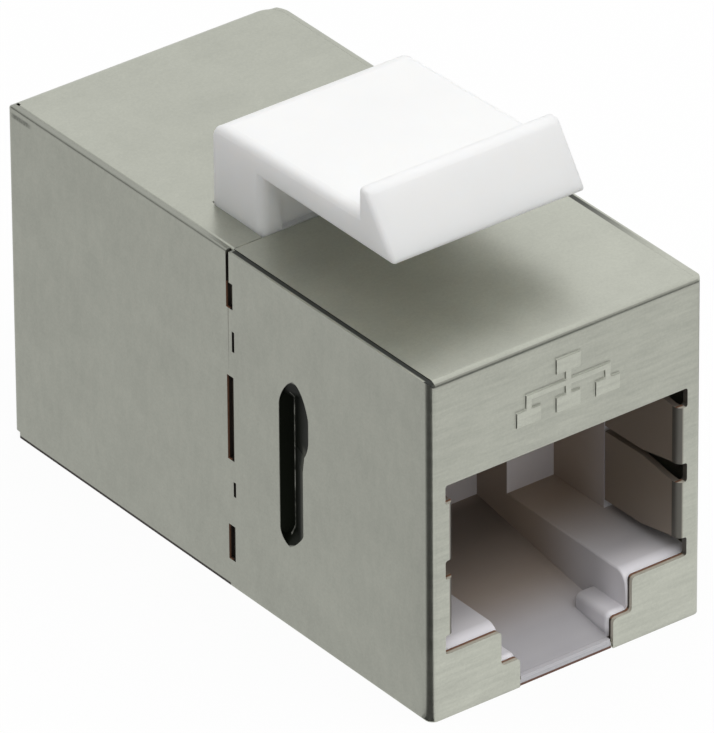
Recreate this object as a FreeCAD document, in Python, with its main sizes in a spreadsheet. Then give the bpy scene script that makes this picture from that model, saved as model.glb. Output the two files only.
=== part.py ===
import FreeCAD, Part
import Sketcher
import math
import os

# A shielded keystone coupler: two modular jack sockets back to back in a folded sheet metal shell,
# with a moulded spring latch on top. Millimetres, +Z up, front socket facing -Y, origin under the
# middle of the body.

doc = FreeCAD.newDocument("keystone_coupler")
sheet = doc.addObject("Spreadsheet::Sheet", "dims")

# Contacts in each socket, and tongues on each side of its opening
CONTACT_COUNT = 8
TONGUE_COUNT = 2

DIMENSIONS = {
    # Body of the coupler
    "body_length": 29.85,
    "body_width": 14.5,
    "body_height": 16.6,
    "metal": 0.3,
    "bend_inner": 0.08,
    "fold_gap": 0.14,
    "seam_depth": 13.98,
    "seam_gap": 0.03,
    "tight_gap": 0.05,
    "floor_slit": 0.03,
    "floor_reveal": 0.08,
    "edge_break": 0.12,
    "relief_start": 0.5,
    # Opening in each end face, from the top edge or from the floor
    "lintel_height": 5.15,
    "shelf_height": 3.15,
    "shelf_gap": 7.0,
    "key_height": 1.45,
    "key_gap": 5.0,
    "opening_radius": 0.2,
    "notch_height": 0.92,
    "notch_relief": 0.13,
    "notch_radius": 0.12,
    # Contact tongues folded into the opening
    "tongue_inset": 1.27,
    "tongue_bend": 0.34,
    "tongue_length": 4.9,
    "tongue_lean": 0.08,
    "tongue_flare": 0.32,
    "flare_start": 0.6,
    "flare_end": 2.4,
    # Groove pressed into each side flap: gentle towards the front, steep at the back
    "groove_front": 8.82,
    "groove_valley": 10.02,
    "groove_back": 10.48,
    "groove_bottom": 3.98,
    "groove_top": 12.3,
    "groove_depth": 0.5,
    "groove_flat": 0.1,
    "groove_taper": 0.8,
    # Wider second strike in the groove's upper part
    "strike_front": 8.4,
    "strike_valley": 9.85,
    "strike_bottom": 8.0,
    # Slots along the side seam, the upper ones measured from the top edge
    "slot_width": 0.46,
    "slot_overlap": 0.14,
    "top_gap_width": 0.21,
    "top_slot_drop": 1.5,
    "top_slot_height": 1.26,
    "middle_slot_bottom": 6.33,
    "middle_slot_height": 4.17,
    "low_slot_bottom": 1.32,
    "low_slot_height": 1.74,
    "slit_width": 0.17,
    "top_slit_drop": 3.83,
    "top_slit_height": 1.0,
    "low_slit_bottom": 4.57,
    "low_slit_height": 0.73,
    # Raised network sign on the lintel
    "sign_rise": 0.1,
    "sign_drop": 1.1,
    "sign_stroke": 0.3,
    "sign_block_width": 1.3,
    "sign_block_height": 0.76,
    "sign_spread": 2.1,
    "sign_link": 0.4,
    # Latch clip
    "clip_width": 10.2,
    "clip_offset": -0.25,
    "foot_length": 3.7,
    "foot_clearance": 0.05,
    "foot_leg": 1.05,
    "foot_recess": 0.3,
    "arm_rise": 2.8,
    "arm_thickness": 1.2,
    "arm_growth": 0.35,
    "arm_reach": 6.72,
    "hook_rise": 1.2,
    "hook_crest": 0.55,
    "hook_reach": 2.45,
    "hook_tip": 0.25,
    "clip_radius": 1.0,
    "edge_radius": 0.25,
    "flange_thickness": 0.55,
    "flange_margin": 0.9,
    # Jack housings
    "fit_clearance": 0.1,
    "cavity_inset": 1.3,
    "cavity_depth": 8.5,
    "throat_depth": 10.6,
    "pocket_clearance": 0.12,
    "housing_gap": 0.3,
    "housing_radius": 0.3,
    "lip": 0.1,
    "channel_floor": 0.16,
    "channel_rise": 1.75,
    "block_length": 2.2,
    "block_radius": 0.3,
    "shelf_radius": 0.7,
    "roof_thickness": 0.8,
    "roof_front": 1.6,
    # Contact carriers and circuit board
    "carrier_front": 1.2,
    "slab_thickness": 0.9,
    "rail_thickness": 1.0,
    "comb_thickness": 0.4,
    "board_thickness": 1.0,
    "board_clearance": 0.1,
    "board_setback": 2.0,
    "hole_diameter": 0.6,
    # Spring contacts
    "contact_pitch": 1.016,
    "wire": 0.3,
    "wire_drop": 0.3,
    "post_depth": 10.2,
    "row_step": 1.5,
    "post_rise": 0.5,
    "post_bend": 0.4,
    "nose_depth": 2.7,
    "nose_radius": 0.55,
    "spring_end_depth": 8.0,
    "spring_drop": 3.3,
}

for row, (alias, value) in enumerate(DIMENSIONS.items(), start=1):
    sheet.set(f"A{row}", alias)
    sheet.set(f"B{row}", str(value))
    sheet.setAlias(f"B{row}", alias)
doc.recompute()

# Planes and heights that several pieces share, as expressions on the sheet
SIDE = "(dims.body_width / 2)"
BACK = "(dims.body_length / 2)"
FRONT = "(-dims.body_length / 2)"
TOP = "dims.body_height"
BEND = "(dims.bend_inner + dims.metal)"
INNER_SIDE = f"({SIDE} - dims.metal)"
INNER_TOP = f"({TOP} - dims.metal)"
SEAM = f"({FRONT} + dims.seam_depth)"
FRONT_EDGE = f"({SEAM} - dims.seam_gap / 2)"
REAR_EDGE = f"({SEAM} + dims.seam_gap / 2)"
WINDOW_TOP = f"({TOP} - dims.lintel_height)"
TONGUE_FACE = f"({SIDE} - dims.tongue_inset)"
TONGUE_ROOT = f"({TONGUE_FACE} + dims.tongue_bend)"
NOTCHES = f"({TONGUE_COUNT + 1} * dims.notch_height)"
TONGUE_HEIGHT = f"(({WINDOW_TOP} - dims.shelf_height - {NOTCHES}) / {TONGUE_COUNT})"
FOOT_FRONT = f"({REAR_EDGE} + dims.foot_clearance)"
FOOT_REAR = f"({FOOT_FRONT} + dims.foot_length)"
ARM_UNDER = f"({TOP} + dims.arm_rise)"
HOUSING_SIDE = f"({INNER_SIDE} - dims.fit_clearance)"
HOUSING_FRONT = f"({FRONT} + dims.metal)"
HOUSING_END = "(-dims.housing_gap / 2)"
HOUSING_TOP = f"({WINDOW_TOP} + dims.roof_thickness)"
CAVITY_SIDE = f"({SIDE} - dims.cavity_inset)"
CAVITY_FLOOR = "(dims.shelf_height + dims.lip)"
CHANNEL_SIDE = "(dims.shelf_gap / 2 - dims.lip)"
CHANNEL_FLOOR = "(dims.metal + dims.channel_floor)"
FLOOR_FRONT = f"({FRONT} + dims.floor_reveal)"
SLAB_TOP = f"({HOUSING_TOP} + dims.slab_thickness)"
BOARD_TOP = f"({SLAB_TOP} + dims.board_thickness)"
RAIL_TOP = f"({INNER_TOP} - dims.flange_thickness)"
RAIL_INNER = f"({HOUSING_SIDE} - dims.rail_thickness)"
ROOF_SIDE = f"({CONTACT_COUNT / 2} * dims.contact_pitch + dims.wire)"
POST_END = f"({FRONT} + dims.post_depth + dims.row_step + dims.hole_diameter)"
WIRE_LEVEL = f"({HOUSING_TOP} - dims.wire_drop)"

# Reach of a cutting tool past the faces that it cuts
PAST = 1.0

# Least share of an edge's direction along an axis for the edge to count as lying along it
AXIS_SHARE = 0.9

# Distance below which two positions are one
SAME = 1e-4

# Share of the hook's crest that its rounding may take
CREST_SHARE = 0.4

# Share of the side groove's width that the rounding of its ends takes
END_SHARE = 0.49


def size(alias):
    """The number in one cell of the sheet."""
    return float(sheet.get(alias))


def number_of(expression):
    """The number that an expression on the sheet comes to."""
    return float(sheet.evalExpression(expression))


def both_sides(half):
    """A span across the middle plane."""
    return f"-({half})", f"{half}"


def block(name, x, y, z):
    """A box between three pairs of expressions."""
    box = doc.addObject("Part::Box", name)
    for axis, side, (low, high) in zip("xyz", ("Length", "Width", "Height"), (x, y, z)):
        box.setExpression(f"Placement.Base.{axis}", low)
        box.setExpression(side, f"({high}) - ({low})")
    return box


def post(name, diameter, x, y, z):
    """An upright cylinder at x, y, between a pair of heights."""
    cylinder = doc.addObject("Part::Cylinder", name)
    low, high = z
    cylinder.setExpression("Radius", f"({diameter}) / 2")
    cylinder.setExpression("Height", f"({high}) - ({low})")
    for axis, value in zip("xyz", (x, y, low)):
        cylinder.setExpression(f"Placement.Base.{axis}", value)
    return cylinder


def rod(name, diameter, x, y, z):
    """A cylinder lying across the body, between a pair of expressions on X."""
    cylinder = doc.addObject("Part::Cylinder", name)
    low, high = x
    cylinder.Placement.Rotation = FreeCAD.Rotation(FreeCAD.Vector(0, 1, 0), 90)
    cylinder.setExpression("Radius", f"({diameter}) / 2")
    cylinder.setExpression("Height", f"({high}) - ({low})")
    for axis, value in zip("xyz", (low, y, z)):
        cylinder.setExpression(f"Placement.Base.{axis}", value)
    return cylinder


def join(name, pieces):
    """One solid from several that touch."""
    fused = doc.addObject("Part::MultiFuse", name)
    fused.Shapes = pieces
    fused.Refine = True
    return fused


def cut(name, base, tools):
    """A solid with one or more tools taken out of it."""
    result = doc.addObject("Part::Cut", name)
    result.Base = base
    result.Tool = tools[0] if len(tools) == 1 else join(f"{name}_tools", tools)
    result.Refine = True
    return result


def overlap(name, first, second):
    """What two solids have in common."""
    result = doc.addObject("Part::Common", name)
    result.Base = first
    result.Tool = second
    return result


def mirrored(name, source, normal):
    """The source reflected in a plane through the origin."""
    copy = doc.addObject("Part::Mirroring", name)
    copy.Source = source
    copy.Normal = normal
    return copy


def left_of(source):
    return mirrored(f"{source.Name}_left", source, FreeCAD.Vector(1, 0, 0))


def rear_of(source, name=None):
    return mirrored(name or f"{source.Name}_rear", source, FreeCAD.Vector(0, 1, 0))


def rounded(name, base, radius, wanted):
    """The base with a fillet on each edge that the test wants, given its direction and middle."""
    doc.recompute()
    chosen = []
    for index, edge in enumerate(base.Shape.Edges, start=1):
        first, last = edge.Vertexes[0].Point, edge.Vertexes[-1].Point
        direction = last - first
        if direction.Length == 0:
            continue
        if wanted(direction.normalize(), (first + last) / 2):
            chosen.append((index, radius, radius))
    fillet = doc.addObject("Part::Fillet", name)
    fillet.Base = base
    fillet.Edges = chosen
    return fillet


def near(first, second):
    return abs(first - second) < SAME


def draw(sketch, points):
    """A closed outline whose corners are pairs of expressions, each held by two dimensions."""
    guess = [tuple(number_of(value) for value in point) for point in points]
    count = len(points)
    for index in range(count):
        start = FreeCAD.Vector(*guess[index], 0)
        end = FreeCAD.Vector(*guess[(index + 1) % count], 0)
        sketch.addGeometry(Part.LineSegment(start, end), False)
    for index in range(count):
        sketch.addConstraint(Sketcher.Constraint("Coincident", index, 2, (index + 1) % count, 1))
    for index, point in enumerate(points):
        pin(sketch, index, 1, point)


def pin(sketch, line, end, point):
    """Hold one end of a sketch line at a pair of expressions."""
    for kind, value in zip(("DistanceX", "DistanceY"), point):
        place = sketch.addConstraint(Sketcher.Constraint(kind, -1, 1, line, end, number_of(value)))
        sketch.setExpression(f"Constraints[{place}]", value)


# Rotation that turns a flat sketch's X and Y into the model's Y and Z
UPRIGHT = FreeCAD.Rotation(FreeCAD.Vector(1, 1, 1), 120)


def side_extrusion(name, points, x):
    """A Y-Z outline carried along X between a pair of expressions."""
    low, high = x
    sketch = doc.addObject("Sketcher::SketchObject", f"{name}_outline")
    sketch.Placement = FreeCAD.Placement(FreeCAD.Vector(), UPRIGHT)
    draw(sketch, points)
    sketch.setExpression("Placement.Base.x", low)
    return extrusion(name, sketch, FreeCAD.Vector(1, 0, 0), f"({high}) - ({low})")


def extrusion(name, sketch, direction, length):
    solid = doc.addObject("Part::Extrusion", name)
    solid.Base = sketch
    solid.DirMode = "Custom"
    solid.Dir = direction
    solid.Solid = True
    solid.setExpression("LengthFwd", length)
    return solid


def body_plane(body, role):
    return next(plane for plane in body.Origin.OriginFeatures if plane.Role == role)


def body_sketch(body, name, role):
    sketch = body.newObject("Sketcher::SketchObject", name)
    sketch.AttachmentSupport = [(body_plane(body, role), "")]
    sketch.MapMode = "FlatFace"
    return sketch


def stepped_opening():
    """Tool for the socket opening in the front face: window, shelf step and latch key."""
    through = (f"{FRONT} - {PAST}", f"{FRONT} + dims.metal")
    window = block("window", both_sides(TONGUE_ROOT), through, ("dims.shelf_height", WINDOW_TOP))
    step = block("window_step", both_sides("dims.shelf_gap / 2"), through,
                 ("dims.key_height", "dims.shelf_height + dims.notch_height"))
    key = block("window_key", both_sides("dims.key_gap / 2"), through,
                (f"-{PAST}", "dims.shelf_height"))
    tool = join("stepped_window", [window, step, key])

    def corner(direction, middle):
        return abs(direction.y) > AXIS_SHARE and middle.z > 0

    eased = rounded("eased_window", tool, size("opening_radius"), corner)
    notches = []
    for number in range(TONGUE_COUNT + 1):
        bottom = f"dims.shelf_height + {number} * (dims.notch_height + {TONGUE_HEIGHT})"
        notch = block(f"notch_{number + 1}", both_sides(f"{TONGUE_ROOT} + dims.notch_relief"), through,
                      (bottom, f"{bottom} + dims.notch_height"))
        notches.append(rounded(f"eased_notch_{number + 1}", notch, size("notch_radius"), corner))
    return join("opening", [eased] + notches)


def tongue(name, bottom):
    """One tongue on the right of the front opening, bent back from the face and flared."""
    face_end = f"{TONGUE_FACE} - dims.tongue_lean"
    tip = f"{FRONT} + dims.tongue_length"
    bend_end = f"{FRONT} + dims.tongue_bend"
    blade = [
        (TONGUE_FACE, bend_end),
        (f"{TONGUE_FACE} + dims.metal", bend_end),
        (f"{face_end} + dims.metal", tip),
        (face_end, tip),
    ]
    top = f"{bottom} + {TONGUE_HEIGHT}"
    low, high = f"{bottom} - dims.tongue_flare", f"{top} + dims.tongue_flare"
    blade_sketch = doc.addObject("Sketcher::SketchObject", f"{name}_plan")
    draw(blade_sketch, blade)
    blade_sketch.setExpression("Placement.Base.z", low)
    blade_solid = extrusion(f"{name}_blade", blade_sketch, FreeCAD.Vector(0, 0, 1), f"({high}) - ({low})")
    flare_start, flare_end = f"{FRONT} + dims.flare_start", f"{FRONT} + dims.flare_end"
    outline = [(FRONT, bottom), (flare_start, bottom), (flare_end, low), (tip, low),
               (tip, high), (flare_end, high), (flare_start, top), (FRONT, top)]
    profile = side_extrusion(f"{name}_profile", outline, (f"{face_end} - {PAST}", TONGUE_ROOT))
    flared = overlap(f"{name}_flared", blade_solid, profile)

    def roll(part, radius):
        return post(f"{name}_{part}", f"2 * ({radius})", TONGUE_ROOT, bend_end, (bottom, top))

    outer = roll("outer", "dims.tongue_bend")
    inner = roll("inner", "dims.tongue_bend - dims.metal")
    ring = cut(f"{name}_ring", outer, [inner])
    quarter = block(f"{name}_quarter", (TONGUE_FACE, TONGUE_ROOT), (FRONT, bend_end), (bottom, top))
    return join(name, [flared, overlap(f"{name}_bend", ring, quarter)])


def tongues():
    """The four tongues of the front opening."""
    low = tongue("low_tongue", "(dims.shelf_height + dims.notch_height)")
    high = tongue("high_tongue", f"(dims.shelf_height + 2 * dims.notch_height + {TONGUE_HEIGHT})")
    return [low, high, left_of(low), left_of(high)]


def wedge(name, base_y, base_z, ridge_y, ridge_z, depth):
    """A hipped form pressed in from the right side, between a base and a ridge at a pair of depths."""
    form = doc.addObject("Part::Wedge", name)
    form.Placement.Rotation = FreeCAD.Rotation(FreeCAD.Vector(0, 0, 1), 90)
    form.setExpression("Placement.Base.x", SIDE)
    for low, high, limits in (("Xmin", "Xmax", base_y), ("Zmin", "Zmax", base_z), ("X2min", "X2max", ridge_y),
                              ("Z2min", "Z2max", ridge_z), ("Ymin", "Ymax", depth)):
        form.setExpression(low, limits[0])
        form.setExpression(high, limits[1])
    return form


def strike(name, front, valley, bottom):
    """One strike of the punch on the right side flap: the hollow it leaves, and the sheet behind it."""
    front_y, back_y = f"{FRONT} + {front}", f"{FRONT} + dims.groove_back"
    valley_y = f"{FRONT} + {valley}"
    flat_end = f"{valley_y} + dims.groove_flat"
    ridge_z = (f"{bottom} + dims.groove_taper", "dims.groove_top - dims.groove_taper")
    roof = wedge(f"{name}_roof", (front_y, back_y), (bottom, "dims.groove_top"), (valley_y, flat_end),
                 ridge_z, ("0", "dims.groove_depth"))
    outline = block(f"{name}_outline", (f"{INNER_SIDE} - dims.groove_depth", f"{SIDE} + {PAST}"),
                    (front_y, back_y), (bottom, "dims.groove_top"))

    def corner(direction, middle):
        return abs(direction.x) > AXIS_SHARE

    end_radius = END_SHARE * (size("groove_back") - number_of(front))
    eased = rounded(f"{name}_eased", outline, end_radius, corner)
    half = "dims.metal / 2"
    skin = wedge(f"{name}_skin", (f"{front_y} - dims.metal", f"{back_y} + dims.metal"),
                 (f"{bottom} - {half}", f"dims.groove_top + {half}"),
                 (f"{valley_y} - {half}", f"{flat_end} + {half}"), ridge_z,
                 (half, "dims.groove_depth + dims.metal"))
    return overlap(name, roof, eased), skin


def side_groove():
    """The groove on the right side flap, struck twice, and the sheet pressed in behind it."""
    full, full_skin = strike("full_strike", "dims.groove_front", "dims.groove_valley", "dims.groove_bottom")
    upper, upper_skin = strike("upper_strike", "dims.strike_front", "dims.strike_valley",
                               "dims.strike_bottom")
    return join("side_groove", [full, upper]), join("groove_skin", [full_skin, upper_skin])


def seam_slots():
    """Slots and slits along the side seam, through both sides."""
    slot = (f"{SEAM} - dims.slot_width + dims.slot_overlap", f"{SEAM} + dims.slot_overlap")
    slit_middle = f"({SEAM} - dims.slot_width + dims.slot_overlap)"
    slit = (f"{slit_middle} - dims.slit_width / 2", f"{slit_middle} + dims.slit_width / 2")
    across = both_sides(f"{SIDE} + {PAST}")
    top_slot_end = f"{TOP} - dims.top_slot_drop"
    top_slit_end = f"{TOP} - dims.top_slit_drop"
    gap = (f"{SEAM} + dims.slot_overlap - dims.top_gap_width", f"{SEAM} + dims.slot_overlap")
    top_gap = block("top_gap", (INNER_SIDE, f"{SIDE} + {PAST}"), gap, (top_slot_end, f"{TOP} + {PAST}"))
    return [
        top_gap,
        left_of(top_gap),
        block("top_slot", across, slot, (f"{top_slot_end} - dims.top_slot_height", top_slot_end)),
        block("middle_slot", across, slot,
              ("dims.middle_slot_bottom", "dims.middle_slot_bottom + dims.middle_slot_height")),
        block("low_slot", across, slot,
              ("dims.low_slot_bottom", "dims.low_slot_bottom + dims.low_slot_height")),
        block("top_slit", across, slit, (f"{top_slit_end} - dims.top_slit_height", top_slit_end)),
        block("low_slit", across, slit,
              ("dims.low_slit_bottom", "dims.low_slit_bottom + dims.low_slit_height")),
    ]


def flap_slits(name, width, y):
    """Slits through the sheet between the top flap and the two side flaps."""
    slit = block(name, (f"{INNER_SIDE} - {width}", INNER_SIDE), y,
                 (f"{INNER_TOP} - dims.tight_gap", f"{TOP} + {PAST}"))
    return [slit, left_of(slit)]


def network_sign():
    """A plain raised network sign on the lintel: one block linked to three."""
    top = f"({TOP} - dims.sign_drop)"
    bus_top = f"({top} - dims.sign_block_height - dims.sign_link)"
    bus_bottom = f"({bus_top} - dims.sign_stroke)"
    low_top = f"({bus_bottom} - dims.sign_link)"
    raised = (f"{FRONT} - dims.sign_rise", f"{FRONT} + dims.metal / 2")
    stroke = "dims.sign_stroke / 2"
    wide = "dims.sign_block_width / 2"
    pieces = [
        block("sign_root", both_sides(wide), raised, (f"{top} - dims.sign_block_height", top)),
        block("sign_stem", both_sides(stroke), raised, (bus_bottom, f"{top} - dims.sign_block_height / 2")),
        block("sign_bus", both_sides(f"dims.sign_spread + {stroke}"), raised, (bus_bottom, bus_top)),
    ]
    for name, place in (("left", "-dims.sign_spread"), ("middle", "0"), ("right", "dims.sign_spread")):
        pieces.append(block(f"sign_{name}", (f"{place} - {wide}", f"{place} + {wide}"), raised,
                            (f"{low_top} - dims.sign_block_height", low_top)))
        pieces.append(block(f"sign_drop_{name}", (f"{place} - {stroke}", f"{place} + {stroke}"), raised,
                            (f"{low_top} - dims.sign_block_height / 2", bus_top)))
    return join("network_sign", pieces)


def front_shell(opening, tongue_set, slots):
    """Front face with its top and side flaps folded back, tongues and side grooves, all one sheet."""
    front, top = -size("body_length") / 2, size("body_height")
    metal, bend = size("metal"), size("bend_inner")
    outer = block("front_outer", both_sides(SIDE), (FRONT, FRONT_EDGE), ("0", TOP))

    def bent(front_plane, top_plane):
        def wanted(direction, middle):
            upright = abs(direction.z) > AXIS_SHARE
            across = abs(direction.x) > AXIS_SHARE and near(middle.z, top_plane)
            return near(middle.y, front_plane) and (upright or across)
        return wanted

    skin = rounded("front_skin", outer, bend + metal, bent(front, top))
    flaps = (f"{FRONT} + dims.metal", f"{FRONT_EDGE} + {PAST}")
    inner = block("front_inner", both_sides(INNER_SIDE), flaps, (f"-{PAST}", INNER_TOP))
    hollow = rounded("front_hollow", inner, bend, bent(front + metal, top - metal))
    folded = cut("front_folded", skin, [hollow])
    groove, skin_behind = side_groove()
    sheet_metal = join("front_sheet", [folded, skin_behind, left_of(skin_behind), network_sign()])
    slits = flap_slits("front_slit", "dims.tight_gap", flaps)
    cuts = [opening, groove, left_of(groove)] + slits + slots
    return join("front_shell", [cut("front_trimmed", sheet_metal, cuts)] + tongue_set)


def floor_flap():
    """The rear shell's floor, carried forward between the front flaps to the mouth of the front socket."""
    behind_face = f"{FRONT} + dims.metal + dims.tight_gap"
    past_seam = f"{REAR_EDGE} + dims.metal"
    between_flaps = both_sides(f"{INNER_SIDE} - dims.tight_gap")
    between_feet = both_sides("dims.key_gap / 2 - dims.tight_gap")
    level = ("0", "dims.metal")
    plate = block("floor_plate", between_flaps, (behind_face, past_seam), level)
    lip = block("floor_lip", between_feet, (FLOOR_FRONT, past_seam), level)
    return [plate, lip]


def rear_shell(opening, tongue_set, slots):
    """Back face with its flaps folded forward, notched for the latch foot, all one sheet."""
    half, back, top = size("body_width") / 2, size("body_length") / 2, size("body_height")
    metal, bend = size("metal"), size("bend_inner")
    outer = block("rear_outer", both_sides(SIDE), (REAR_EDGE, BACK), ("0", TOP))

    def bent(back_plane, top_plane, bottom_plane):
        def wanted(direction, middle):
            upright = abs(direction.z) > AXIS_SHARE
            level = near(middle.z, top_plane) or near(middle.z, bottom_plane)
            across = abs(direction.x) > AXIS_SHARE and level
            return near(middle.y, back_plane) and (upright or across)
        return wanted

    def flap_edge(direction, middle):
        return abs(direction.y) > AXIS_SHARE and near(middle.z, top) and near(abs(middle.x), half)

    bends = rounded("rear_bends", outer, bend + metal, bent(back, top, 0))
    skin = rounded("rear_skin", bends, size("edge_break"), flap_edge)
    before_seam, inner_back = f"{REAR_EDGE} - {PAST}", f"{BACK} - dims.metal"
    inner = block("rear_inner", both_sides(INNER_SIDE), (before_seam, inner_back), ("dims.metal", INNER_TOP))
    hollow = rounded("rear_hollow", inner, bend, bent(back - metal, top - metal, metal))
    folded = cut("rear_folded", skin, [hollow])
    relief_start = f"{BACK} - dims.relief_start"
    slits = flap_slits("rear_slit", "dims.tight_gap", (before_seam, inner_back))
    slits += flap_slits("corner_relief", "dims.fold_gap", (relief_start, inner_back))
    past_back, past_side = f"{BACK} + {PAST}", (INNER_SIDE, f"{SIDE} + {PAST}")
    floor_slit = block("floor_slit", past_side, (before_seam, past_back),
                       ("dims.metal", "dims.metal + dims.floor_slit"))
    floor_relief = block("floor_relief", past_side, (relief_start, past_back), (f"-{PAST}", "dims.metal"))
    key_end = block("key_end", both_sides("dims.key_gap / 2"), (f"{BACK} - {BEND}", past_back), (f"-{PAST}", BEND))
    notch_side = "(dims.clip_width / 2 + dims.foot_clearance)"
    notch_span = (before_seam, f"{FOOT_REAR} + dims.foot_clearance")
    notch = block("foot_notch", (f"dims.clip_offset - {notch_side}", f"dims.clip_offset + {notch_side}"),
                  notch_span, (INNER_TOP, f"{TOP} + {PAST}"))
    seams = slits + [floor_slit, left_of(floor_slit), floor_relief, left_of(floor_relief)]
    trimmed = cut("rear_trimmed", folded, seams + [notch, key_end, rear_of(opening)] + slots)
    return join("rear_shell", [trimmed] + floor_flap() + [rear_of(piece) for piece in tongue_set])


def latch_clip():
    """Moulded spring latch: a foot through the shell's notch, a flange under it, an arm and a hook."""
    body = doc.addObject("PartDesign::Body", "latch_clip")
    profile = body_sketch(body, "clip_profile", "YZ_Plane")
    step = f"({FOOT_FRONT} - dims.arm_reach)"
    arm_rear_top = f"({ARM_UNDER} + dims.arm_thickness)"
    arm_front_top = f"({arm_rear_top} + dims.arm_growth)"
    crest = f"({arm_front_top} + dims.hook_rise)"
    tip = f"({step} - dims.hook_reach)"
    draw(profile, [
        (FOOT_FRONT, RAIL_TOP),
        (FOOT_REAR, RAIL_TOP),
        (FOOT_REAR, arm_rear_top),
        (step, arm_front_top),
        (step, crest),
        (f"{step} - dims.hook_crest", crest),
        (tip, f"{ARM_UNDER} + dims.hook_tip"),
        (tip, ARM_UNDER),
        (FOOT_FRONT, ARM_UNDER),
    ])
    pad = body.newObject("PartDesign::Pad", "clip_pad")
    pad.Profile = profile
    pad.SideType = "Symmetric"
    pad.setExpression("Length", "dims.clip_width")
    doc.recompute()

    crest_level = number_of(crest)
    rear_level = number_of(arm_rear_top)

    def fillet(name, radius, wanted):
        base = body.Tip
        names = []
        for index, edge in enumerate(base.Shape.Edges, start=1):
            first, last = edge.Vertexes[0].Point, edge.Vertexes[-1].Point
            if wanted((last - first).normalize(), (first + last) / 2):
                names.append(f"Edge{index}")
        feature = body.newObject("PartDesign::Fillet", name)
        feature.Base = (base, names)
        feature.setExpression("Radius", radius)
        doc.recompute()

    side = size("clip_width") / 2
    round_foot = rear_level - size("clip_radius")
    foot_rear, arm_front = number_of(FOOT_REAR), number_of(step)

    def rear_corner(direction, middle):
        return abs(direction.x) > AXIS_SHARE and near(middle.z, rear_level)

    def crest_corner(direction, middle):
        return abs(direction.x) > AXIS_SHARE and near(middle.z, crest_level)

    def side_edge(direction, middle):
        on_arm = middle.z > round_foot and middle.y > arm_front
        return near(abs(middle.x), side) and (near(middle.y, foot_rear) or on_arm)

    fillet("foot_round", "dims.clip_radius", rear_corner)
    fillet("crest_round", f"min(dims.edge_radius; {CREST_SHARE} * dims.hook_crest)", crest_corner)
    fillet("side_round", "dims.edge_radius", side_edge)
    recess = body.newObject("PartDesign::SubtractiveBox", "foot_recess_cut")
    recess.setExpression("Length", "dims.clip_width - 2 * dims.foot_leg")
    recess.setExpression("Width", "dims.foot_recess")
    recess.setExpression("Height", f"{ARM_UNDER} - {TOP}")
    recess.setExpression("Placement.Base.x", "-dims.clip_width / 2 + dims.foot_leg")
    recess.setExpression("Placement.Base.y", FOOT_FRONT)
    recess.setExpression("Placement.Base.z", TOP)
    flange = body.newObject("PartDesign::AdditiveBox", "flange")
    flange_side = f"({RAIL_INNER} + dims.rail_thickness / 2)"
    flange.setExpression("Length", f"2 * {flange_side}")
    flange.setExpression("Width", "dims.foot_length + 2 * dims.flange_margin")
    flange.setExpression("Height", "dims.flange_thickness")
    flange.setExpression("Placement.Base.x", f"-{flange_side} - dims.clip_offset")
    flange.setExpression("Placement.Base.y", f"{FOOT_FRONT} - dims.flange_margin")
    flange.setExpression("Placement.Base.z", RAIL_TOP)
    body.setExpression("Placement.Base.x", "dims.clip_offset")
    return body


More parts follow.
